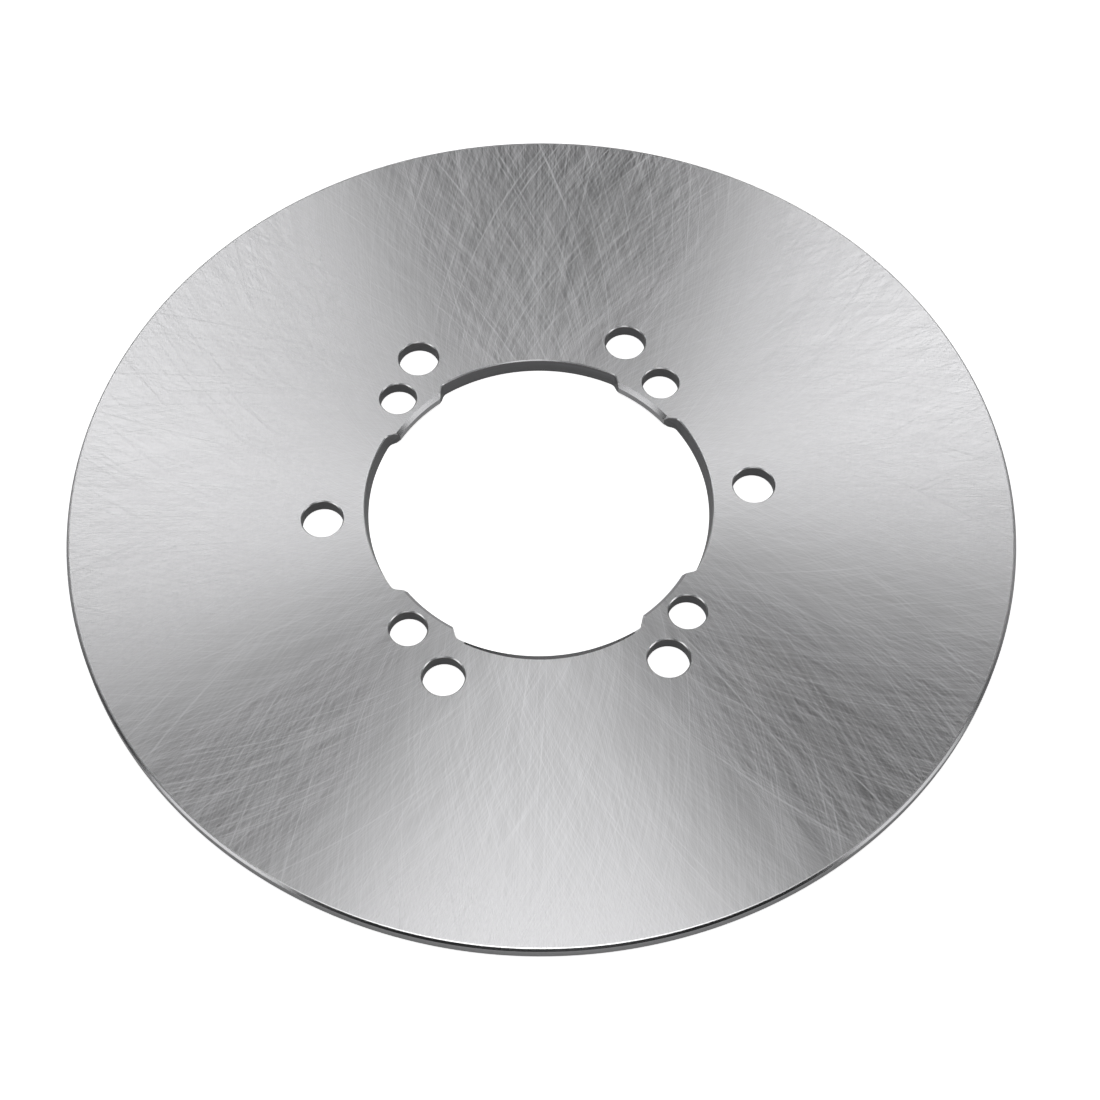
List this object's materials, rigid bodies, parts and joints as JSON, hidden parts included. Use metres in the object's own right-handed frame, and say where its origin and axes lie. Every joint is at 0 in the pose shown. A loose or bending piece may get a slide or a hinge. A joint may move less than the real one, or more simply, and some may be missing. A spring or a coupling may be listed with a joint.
{
  "type": "brake disc rotor",
  "caption": "Flat one-piece steel brake disc with a ground face, a chamfered rim, two bolt circles and a centre bore with pilot pads between shallow reliefs.",
  "frame": {"origin": "on the disc's axis, on the hub-side face", "axes": "+Z along the disc's axis, out of the braking face that looks away from the hub; +X through two opposite holes of the six-hole circle; +Y completes the right-handed frame"},
  "size_m": [0.24, 0.24, 0.004],
  "materials": {
    "ground_steel": "cross-hatch ground faces, with darker machined rim, holes and bore"
  },
  "bodies": {
    "root": {"brake_disc": "ground_steel"}
  },
  "joints": []
}
